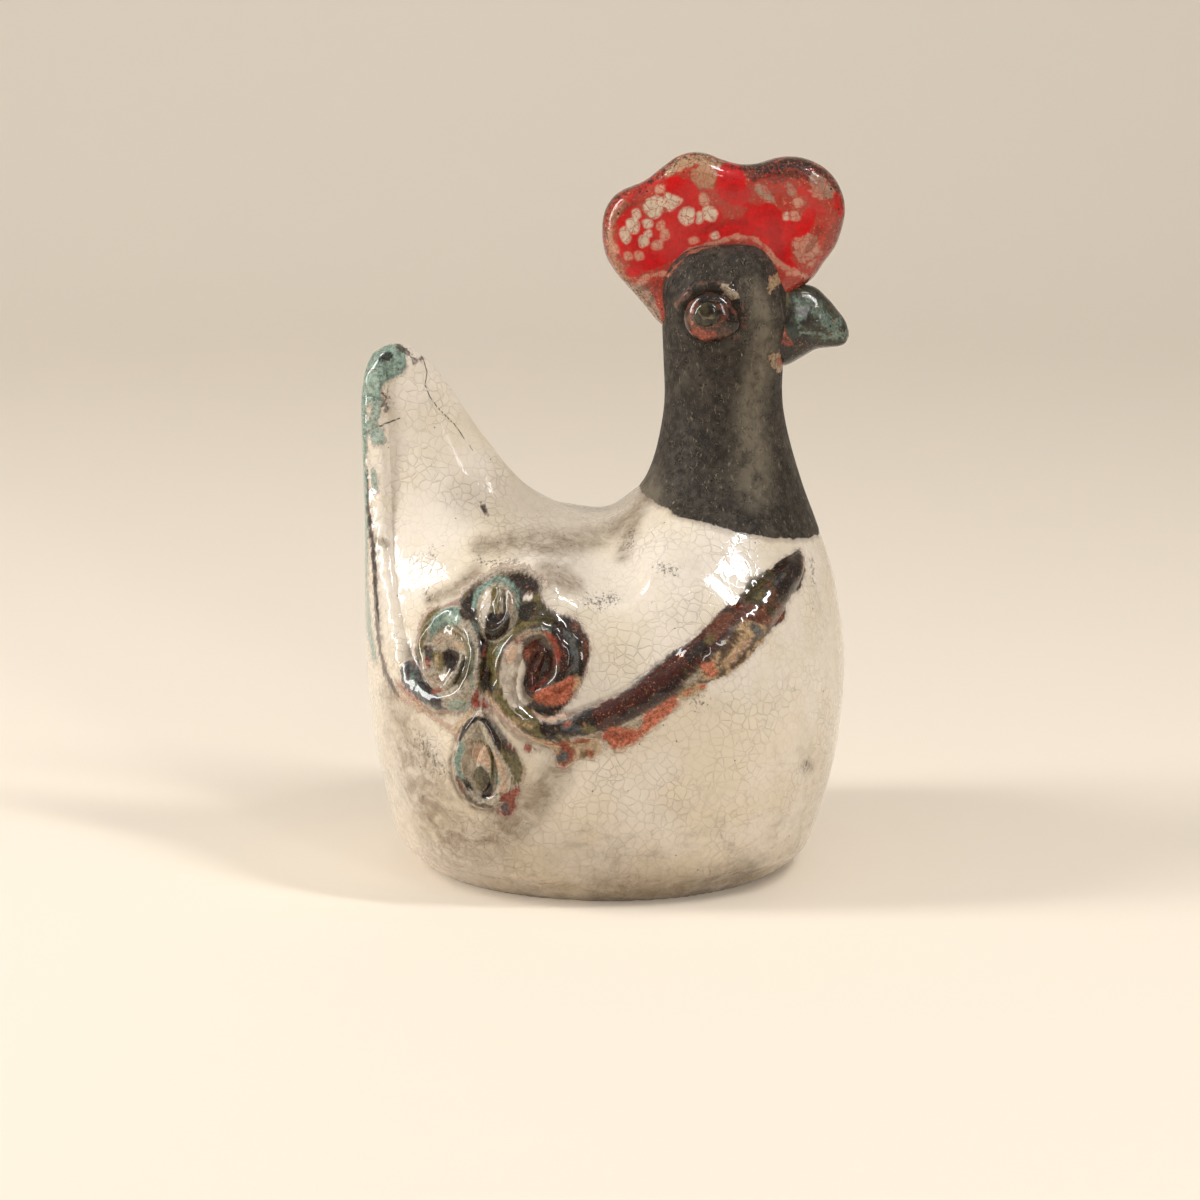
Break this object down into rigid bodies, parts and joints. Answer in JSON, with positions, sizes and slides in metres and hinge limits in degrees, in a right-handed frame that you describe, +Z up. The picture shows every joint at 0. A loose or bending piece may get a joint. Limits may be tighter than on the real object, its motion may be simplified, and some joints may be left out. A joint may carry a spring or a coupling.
{
  "type": "ceramic bird figurine",
  "caption": "Hollow raku ceramic hen figurine with a flat foot, upright tail fin, straight neck, thick rounded comb, beak and applied scroll coils.",
  "frame": {"origin": "centre of the overall box in plan, on the resting plane under the foot", "axes": "+Z up, +X the way the bird faces, +Y to the bird's left"},
  "size_m": [0.1327, 0.1184, 0.1975],
  "materials": {
    "base_clay": "bare smoked clay",
    "crackle_glaze": "cream crackle glaze with smoked craze lines",
    "smoked_clay": "matte carbon-black unglazed clay",
    "red_glaze": "glossy red crackle glaze",
    "green_black_glaze": "glossy black glaze with a green patina",
    "oxblood_glaze": "glossy oxblood brown lustre glaze",
    "olive_glaze": "glossy olive and turquoise glaze",
    "black_glaze": "glossy black glaze"
  },
  "bodies": {
    "root": {"base_slab": "base_clay", "body_shell": "crackle_glaze", "tail": "crackle_glaze", "neck_and_head": "smoked_clay", "comb": "red_glaze", "beak": "green_black_glaze", "front_scroll_right": "oxblood_glaze", "front_scroll_left": "oxblood_glaze", "rear_scroll_right": "olive_glaze", "rear_scroll_left": "olive_glaze", "bud_right": "olive_glaze", "bud_left": "olive_glaze", "drop_rim_right": "olive_glaze", "drop_rim_left": "olive_glaze", "drop_pellet_right": "black_glaze", "drop_pellet_left": "black_glaze", "eye_right": "oxblood_glaze", "eye_left": "oxblood_glaze", "pupil_right": "black_glaze", "pupil_left": "black_glaze"}
  },
  "joints": []
}
